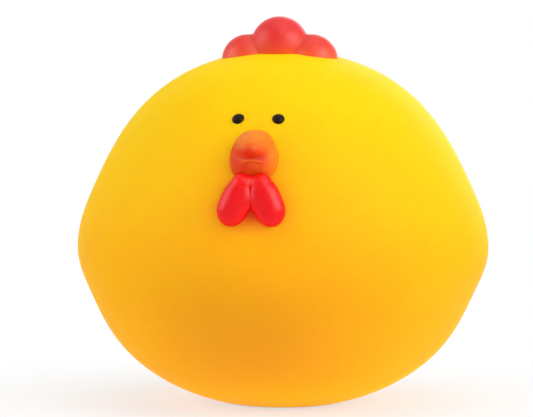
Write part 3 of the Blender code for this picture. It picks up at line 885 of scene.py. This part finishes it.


# Beak: the merged lobes, arched and drooped. The lower lip is a low ridge across its front, a bell
# curve up the height, with a groove of the same form below it. Red paint and painted shade gather
# above the lip, under the upper beak, thin out on the lip itself as a painted highlight, and fade
# to orange on the crown, at the sides and at the lower rim.
def makeBeak():
    directions = ballDirections(beak["columns"], beak["rows"], beak["crowding"])
    local, ends = lobeSurface(directions, beakCentre, beakLobes, beak["crease"])
    across, up = local[..., 0], local[..., 2]
    front = 1 - fade(np.abs(across), 0.5 * beak["lipSpan"], beak["lipSpan"])
    front = front * fade(-directions[..., 1], *beak["lipFront"])
    above = up - beak["lip"]
    lip = front * np.exp(-(above / beak["lipWidth"]) ** 2)
    groove = (above + beak["grooveDrop"] * beak["lipWidth"]) / beak["lipWidth"]
    groove = front * np.exp(-groove ** 2)
    ridge = beak["lipHeight"] * (lip - beak["groove"] * groove)
    local = local + ridge[..., None] * directions
    mouth = 1 - fade(np.abs(across + mouthPaintAndShade["middle"]), *mouthPaintAndShade["sides"])
    mouth = mouth * (1 - fade(up, *mouthPaintAndShade["top"]))
    coat = mouthPaintAndShade["rim"] + mouthPaintAndShade["chin"] * fade(up, *mouthPaintAndShade["chinFoot"])
    coat = coat + mouthPaintAndShade["mouth"] * fade(up, *mouthPaintAndShade["mouthFoot"])
    mouth = mouth * coat * (1 - mouthPaintAndShade["ridge"] * lip)
    rings, ends = facePressed(beakToToy(local)), facePressed(beakToToy(ends))
    return ringPiece("hen_beak", rings, ends[0], ends[1], beakRubber, {"mouth": mouth})


# Wattle: elliptic rings along the line from root to lobe, closed by a quarter ellipse at each end,
# flattened a little past the middle, where it runs into the other, and pressed to the seat. Towards
# the middle the root's end is squarer, the same quarter to a lower power, and the rings there are
# halves of a superellipse, widened by a bell curve along the length, so that the two run together
# under the beak in a shallow crease.
def makeWattle(name, side):
    root, span, axes = wattlePlace(side)
    rows = wattle["rows"] // 3
    turns = np.linspace(0, pi / 2, rows, endpoint=False)[1:]
    along = np.concatenate((
        -wattle["rootWidth"] * np.cos(turns), np.linspace(0, span, rows),
        span + wattle["tip"] * np.sin(turns)))[:, None]
    closing = np.concatenate((np.sin(turns), np.ones(rows), np.cos(turns)))[:, None]
    wide, deep = wattleSize(along, span)
    around = np.linspace(0, 2 * pi, wattle["columns"], endpoint=False)
    towards = side * np.cos(around)    # 1 on the side of the other wattle, -1 away from it
    inward = np.maximum(towards, 0)
    closing = closing ** (1 - wattle["rootSquare"] * inward * (along < 0))
    square = 1 - fade(along / span, *wattle["squareSpan"])
    innerHalf = fade(towards, -0.05, 0.05)    # 1 on the inner half, with a short step to 0
    power = 1 - wattle["innerSquare"] * innerHalf * square
    waves = [np.sign(wave) * np.abs(wave) ** power for wave in (np.cos(around), np.sin(around))]
    web = np.exp(-((along / span - wattle["webMiddle"]) / wattle["webSpread"]) ** 2)
    wide = wide + wattle["web"] * inward * web
    parts = closing * wide * waves[0], closing * deep * waves[1], along + 0 * around
    ends = np.array(((0, 0, -wattle["rootWidth"]), (0, 0, span + wattle["tip"])))

    def placed(points):
        points = points @ axes + root
        points[..., 0] = side * np.maximum(side * points[..., 0], -wattle["past"])
        return facePressed(points)

    rings, ends = placed(np.stack(parts, -1)), placed(ends)
    # Painted light: a brighter red at the root and on the inner side, where shade falls.
    atRoot = 1 - fade(along / span, *wattle["creaseLightRoot"])
    crease = np.maximum(atRoot, fade(towards, *wattle["creaseLightInner"]))
    return ringPiece(name, rings, ends[0], ends[1], wattleRubber, {"crease": crease})


# Eye: a flattened bead set square to the skin.
def makeEye(name, side):
    middle, axes = eyePlace(side)
    lean = np.linspace(0, pi, eye["rows"] + 2)[1:-1, None]
    around = np.linspace(0, 2 * pi, eye["columns"], endpoint=False)
    flat = eye["radius"] * np.sin(lean)
    parts = flat * np.cos(around), flat * np.sin(around), eye["dome"] * np.cos(lean) + 0 * around
    rings = np.stack(parts, -1) @ axes + middle
    top, foot = middle + eye["dome"] * axes[2], middle - eye["dome"] * axes[2]
    return ringPiece(name, rings, top, foot, eyeAcrylic)


def settle(piece, node, bodyName):
    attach(piece, bodyName)
    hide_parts(node)
    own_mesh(piece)
    return piece


skin = settle(makeSkin(), "body_skin", "base")
settle(makeGel(), "gel_fill", "base")
settle(makePlug(), "filler_plug", "base")
settle(makeComb(), "comb", "crown")
settle(makeBeak(), "beak", "bill")
settle(makeWattle("hen_wattle_left", 1), "left_wattle", "bill")
settle(makeWattle("hen_wattle_right", -1), "right_wattle", "bill")
settle(makeEye("hen_eye_left", 1), "left_eye", "brow")
settle(makeEye("hen_eye_right", -1), "right_eye", "brow")
print("pieces made")


# Studio: a pale floor that turns to plain white away from the toy, big soft lamps, soft boxes that
# show only in the gloss, and a white world. Sizes and places in metres, powers in watts.
studio = {
    "floorSize": 8.0,
    "floorDrop": 0.05 * mm,      # keeps it clear of the toy's flat patch
    "floorColour": "#F4F4F4",
    "fadeStart": 0.02,           # from the toy's middle, where the veil of white is thinnest
    "fadeEnd": 0.12,             # and where it is full
    "nearWhite": 0.6,
    "world": 0.41,               # strength of its light on the toy
    "tableSize": 0.20,           # light that a white table throws back up under the belly
    "tablePower": 0.045,
    "tableLift": 0.2 * mm,
    "lamps": (                   # name, place, size, power, and if it lights more than the gloss
        ("sideRight", (1.20, -0.45, 0.65), 1.0, 11.5, True),
        ("sideLeft", (-1.20, -0.45, 0.60), 1.0, 7.1, True),
        ("overhead", (0.15, -0.10, 1.20), 1.0, 4.5, True),
        ("lowRight", (0.75, -1.00, 0.25), 0.7, 1.7, True),
        ("behind", (0.30, 1.30, 0.40), 1.0, 4.8, True),
        ("shineRight", (0.95, -0.95, 0.72), 0.8, 8.5, False),
        ("shineLeft", (-1.15, -0.55, 0.60), 1.0, 4.5, False),
        ("shineFront", (0.30, -0.80, 1.00), 0.35, 2.0, False),
    ),
}


# 1 for rays that see a surface, straight, in a reflection or through something, and 0 for the light
# that it gives.
def seenRays(tree):
    path = add(tree, "LightPath")
    seen = path.outputs["Is Camera Ray"]
    for kind in ("Is Glossy Ray", "Is Transmission Ray"):
        seen = add(tree, "Math", {"operation": "MAXIMUM"}, {0: seen, 1: path.outputs[kind]})
    return seen


# Painted paper. It shows its own shading and the toy's shadow near the toy, under a veil of white,
# and plain white further out. Only what is seen turns white, and not the light that it gives.
def studioPaper():
    made, tree, place = newMaterial("studioPaper")
    away = add(tree, "VectorMath", {"operation": "LENGTH"}, {0: place})
    far = add(tree, "MapRange", {
        "interpolation_type": "SMOOTHSTEP", "From Min": studio["fadeStart"],
        "From Max": studio["fadeEnd"], "To Min": studio["nearWhite"],
    }, {"Value": away.outputs["Value"]})
    share = add(tree, "Math", {"operation": "MULTIPLY"}, {0: seenRays(tree), 1: far})
    paper = add(tree, "BsdfDiffuse", {"Color": linear(studio["floorColour"])})
    white = add(tree, "Emission", {"Color": (1, 1, 1, 1), "Strength": 1.0})
    mixed = add(tree, "MixShader", {}, {0: share, 1: paper, 2: white})
    add(tree, "OutputMaterial", {}, {"Surface": mixed})
    return made


def makeFloor():
    half = studio["floorSize"] / 2
    corners = half * np.array(((-1, -1, 0), (1, -1, 0), (1, 1, 0), (-1, 1, 0)))
    mesh = bpy.data.meshes.new("studioFloor")
    mesh.from_pydata(corners, [], [(0, 1, 2, 3)])
    mesh.materials.append(studioPaper())
    floor = bpy.data.objects.new("studioFloor", mesh)
    floor.location.z = -studio["floorDrop"]
    bpy.context.collection.objects.link(floor)


def makeWorld():
    world = bpy.data.worlds.new("studioWorld")
    bpy.context.scene.world = world
    world.use_nodes = True
    tree = world.node_tree
    tree.nodes.clear()
    strength = add(tree, "MapRange", {"To Min": studio["world"], "To Max": 1.0},
                   {"Value": seenRays(tree)})
    light = add(tree, "Background", {"Color": (1, 1, 1, 1)}, {"Strength": strength})
    add(tree, "OutputWorld", {}, {"Surface": light})


def areaLamp(name, place, size, power):
    lamp = bpy.data.lights.new(name, "AREA")
    lamp.size, lamp.energy = size, power
    holder = bpy.data.objects.new(name, lamp)
    holder.location = place
    bpy.context.collection.objects.link(holder)
    return holder


def makeLamps():
    for name, place, size, power, lights in studio["lamps"]:
        holder = areaLamp(name, place, size, power)
        aim = Vector((0, 0, body["widest"])) - Vector(place)
        holder.rotation_euler = aim.to_track_quat("-Z", "Y").to_euler()
        holder.visible_diffuse = lights
    place = (0, 0, studio["tableLift"])
    table = areaLamp("tableGlow", place, studio["tableSize"], studio["tablePower"])
    table.rotation_euler.x = pi
    table.visible_camera = table.visible_glossy = table.visible_transmission = False


# Camera: its place was worked out from the outline. The toy's middle falls on the named pixel, and
# the shift puts it there. Angles in degrees, from straight in front of the toy and from level.
camera = {
    "azimuth": 9.2,
    "elevation": 4.0,
    "distance": 0.680,
    "middle": (0, 0, 43.3 * mm),
    "image": (533, 417),
    "middlePixel": (282.1, 223.1),
    "focalPixels": 2800.0,       # focal length, in pixels of the photograph
    "sensor": 36.0,
    "clip": (0.01, 50),
}


def makeCamera():
    turn, climb = np.radians(camera["azimuth"]), np.radians(camera["elevation"])
    back = Vector((np.sin(turn) * np.cos(climb), -np.cos(turn) * np.cos(climb), np.sin(climb)))
    lens = bpy.data.cameras.new("photoCamera")
    wide, high = camera["image"]
    lens.sensor_width = camera["sensor"]
    lens.lens = camera["focalPixels"] / wide * camera["sensor"]
    lens.shift_x = ((wide - 1) / 2 - camera["middlePixel"][0]) / wide
    lens.shift_y = (camera["middlePixel"][1] - (high - 1) / 2) / wide
    lens.clip_start, lens.clip_end = camera["clip"]
    holder = bpy.data.objects.new("photoCamera", lens)
    holder.location = Vector(camera["middle"]) + camera["distance"] * back
    holder.rotation_euler = (-back).to_track_quat("-Z", "Y").to_euler()
    bpy.context.collection.objects.link(holder)
    bpy.context.scene.camera = holder


makeFloor()
makeWorld()
makeLamps()
makeCamera()
bpy.context.scene.view_settings.view_transform = "Standard"
print("studio and camera made")
